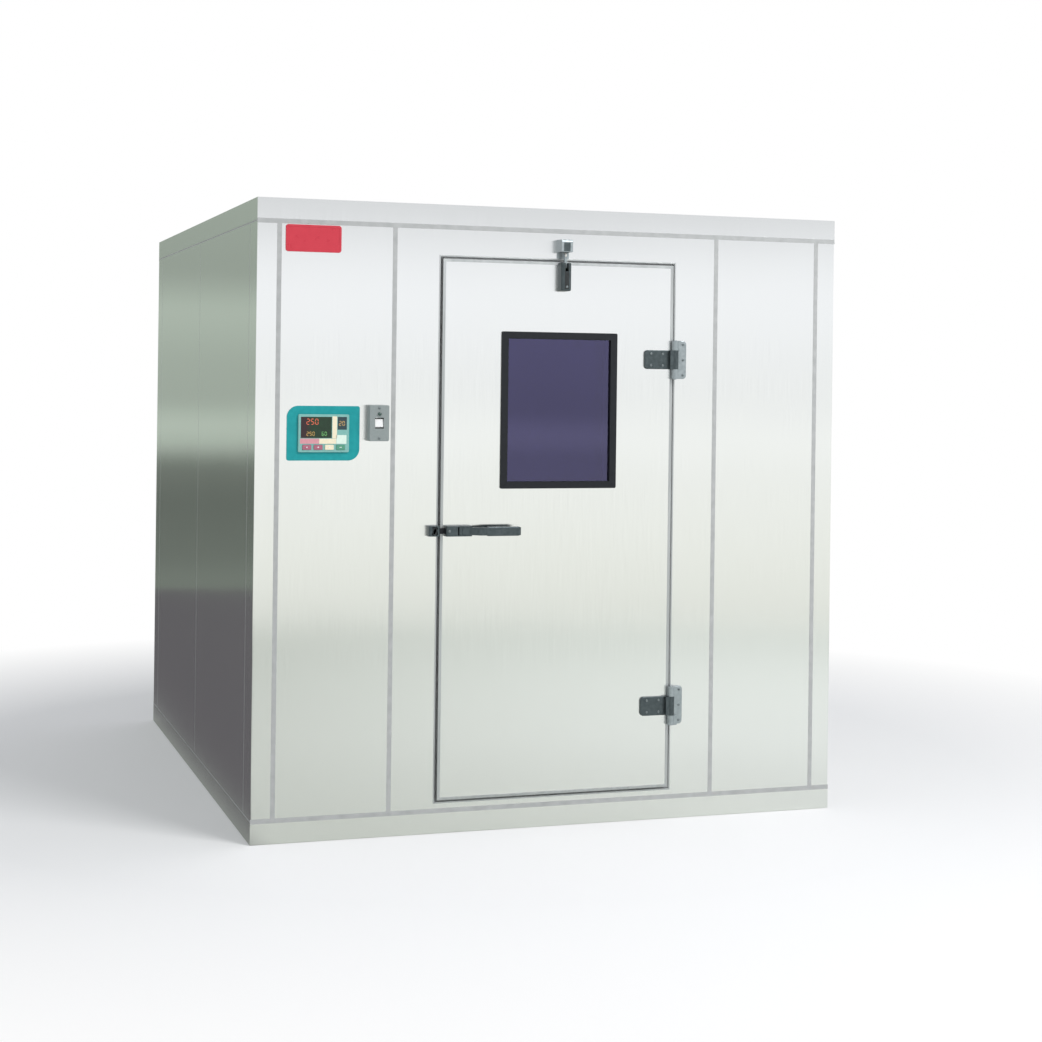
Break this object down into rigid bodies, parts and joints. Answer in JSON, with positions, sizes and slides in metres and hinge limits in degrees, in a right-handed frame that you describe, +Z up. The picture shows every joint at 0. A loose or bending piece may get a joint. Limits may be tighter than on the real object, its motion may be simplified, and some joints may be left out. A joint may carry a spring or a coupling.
{
  "type": "walk-in environmental test chamber",
  "caption": "Walk-in climate chamber of stainless sandwich panels: flush hinged door with window, pull latch and closer, control panel, inner rack, fans and plant space.",
  "frame": {"origin": "on the ground under the middle of the walls' footprint", "axes": "+Z up, +Y from the door face to the rear wall, +X to the right seen from the front"},
  "size_m": [2.288, 2.692, 2.3],
  "materials": {
    "steel_bright": "brushed stainless sheet, upright grain",
    "steel_inner": "satin stainless sheet",
    "foam": "rigid foam",
    "frame_plastic": "extruded rigid plastic",
    "sealant": "silicone joint",
    "gasket_rubber": "black rubber",
    "cast_dark": "dark grey satin casting",
    "cast_light": "mid grey satin casting",
    "nylon": "nylon",
    "steel_tool": "polished steel",
    "teal_plate": "enamelled plate",
    "control_plastic": "moulded housing",
    "display_glass": "tinted window",
    "key_plastic": "moulded keys",
    "rocker_white": "moulded rocker",
    "pane_glass": "tinted insulating glass",
    "plant_black": "black enamel",
    "copper_pipe": "copper tube",
    "boiler_steel": "plain steel",
    "cabinet_grey": "powder coat",
    "coil_fins": "finned block",
    "fan_alu": "cast rotor",
    "motor_grey": "enamel",
    "lamp_opal": "opal cover on a white base",
    "port_plastic": "rigid plastic",
    "release_green": "moulded push knob"
  },
  "bodies": {
    "enclosure": {"floor_outer_tray": "steel_bright", "floor_tread_sheet": "steel_inner", "roof_outer_skin": "steel_bright", "corner_posts": "steel_bright", "side_wall_outer_skins": "steel_bright", "rear_wall_outer_skins": "steel_bright", "front_panel_skins": "steel_bright", "service_panel": "steel_bright", "louvre_panel": "steel_bright", "inner_skins": "steel_inner", "partition_skins": "steel_inner", "insulation_cores": "foam", "door_frame": "frame_plastic", "panel_joint_seals": "sealant", "hinge_flanges": "cast_light", "latch_strike": "cast_dark", "closer_hook": "cast_light", "control_fascia": "teal_plate", "controller_unit": "control_plastic", "display_windows": "display_glass", "mains_switch_box": "control_plastic", "condensing_unit_base": "plant_black", "condenser_coil": "coil_fins", "compressor": "plant_black", "refrigerant_pipes": "copper_pipe", "steam_humidifier": "boiler_steel", "electrical_cabinet": "cabinet_grey", "plenum_baffle": "steel_inner", "evaporator_coil": "coil_fins", "drip_tray": "steel_inner", "heater_elements": "boiler_steel", "fan_motors": "motor_grey", "storage_rack": "steel_tool", "ceiling_lamp": "lamp_opal", "cable_port_sleeve": "port_plastic", "drain_pipe": "port_plastic", "supply_gland": "port_plastic"},
    "door": {"door_outer_skin": "steel_bright", "door_inner_skin": "steel_inner", "door_core": "foam", "door_edge_profiles": "frame_plastic", "window_frames": "gasket_rubber", "window_panes": "pane_glass", "door_gasket": "gasket_rubber", "hinge_straps": "cast_dark", "latch_body": "cast_dark", "closer_body": "cast_dark"},
    "lever": {"latch_lever": "cast_dark"},
    "bolt": {"latch_bolt": "steel_tool"},
    "release": {"inside_release": "release_green"},
    "closer_link": {"closer_arm": "cast_light"},
    "roller": {"closer_roller": "nylon"},
    "key_1": {"control_key_1": "key_plastic"},
    "key_2": {"control_key_2": "key_plastic"},
    "key_3": {"control_key_3": "key_plastic"},
    "key_4": {"control_key_4": "key_plastic"},
    "rocker": {"mains_rocker": "rocker_white"},
    "condenser_rotor": {"condenser_fan": "fan_alu"},
    "left_rotor": {"circulation_fan_left": "fan_alu"},
    "right_rotor": {"circulation_fan_right": "fan_alu"}
  },
  "joints": [
    {"name": "door_swing", "type": "hinge", "parent": "enclosure", "child": "door", "pos_m": [0.46, -1.302, 1.0885], "axis": [0, 0, 1], "range_deg": [0, 120]},
    {"name": "latch_pull", "type": "hinge", "parent": "door", "child": "lever", "pos_m": [-0.385, -1.312, 1.107], "axis": [0, 0, -1], "range_deg": [0, 30], "stiffness_Nm_per_rad": 2, "springref_deg": -5.73},
    {"name": "latch_bolt_slide", "type": "slide", "parent": "door", "child": "bolt", "axis": [1, 0, 0], "range_m": [0, 0.0085]},
    {"name": "inside_release_push", "type": "slide", "parent": "door", "child": "release", "axis": [0, -1, 0], "range_m": [0, 0.017]},
    {"name": "closer_arm_tilt", "type": "hinge", "parent": "door", "child": "closer_link", "pos_m": [0.01, -1.309, 2.082], "axis": [1, 0, 0], "range_deg": [0, 40]},
    {"name": "closer_roller_spin", "type": "hinge", "parent": "closer_link", "child": "roller", "pos_m": [0.01, -1.309, 2.128], "axis": [1, 0, 0], "continuous": true},
    {"name": "key_1_press", "type": "slide", "parent": "enclosure", "child": "key_1", "axis": [0, 1, 0], "range_m": [0, 0.0012], "stiffness_N_per_m": 400},
    {"name": "key_2_press", "type": "slide", "parent": "enclosure", "child": "key_2", "axis": [0, 1, 0], "range_m": [0, 0.0012], "stiffness_N_per_m": 400},
    {"name": "key_3_press", "type": "slide", "parent": "enclosure", "child": "key_3", "axis": [0, 1, 0], "range_m": [0, 0.0012], "stiffness_N_per_m": 400},
    {"name": "key_4_press", "type": "slide", "parent": "enclosure", "child": "key_4", "axis": [0, 1, 0], "range_m": [0, 0.0012], "stiffness_N_per_m": 400},
    {"name": "mains_rocker_tip", "type": "hinge", "parent": "enclosure", "child": "rocker", "pos_m": [-0.696, -1.311, 1.5], "axis": [1, 0, 0], "range_deg": [0, 14]},
    {"name": "condenser_fan_spin", "type": "hinge", "parent": "enclosure", "child": "condenser_rotor", "pos_m": [-0.8475, 1.085, 0.34], "axis": [0, 1, 0], "continuous": true},
    {"name": "left_fan_spin", "type": "hinge", "parent": "enclosure", "child": "left_rotor", "pos_m": [-0.0975, 0.925, 1.85], "axis": [0, 1, 0], "continuous": true},
    {"name": "right_fan_spin", "type": "hinge", "parent": "enclosure", "child": "right_rotor", "pos_m": [0.6025, 0.925, 1.85], "axis": [0, 1, 0], "continuous": true}
  ],
  "couplings": [
    {"joint": "latch_bolt_slide", "follows": "latch_pull", "m_per_rad": 0.016},
    {"joint": "inside_release_push", "follows": "latch_pull", "m_per_rad": 0.032}
  ]
}
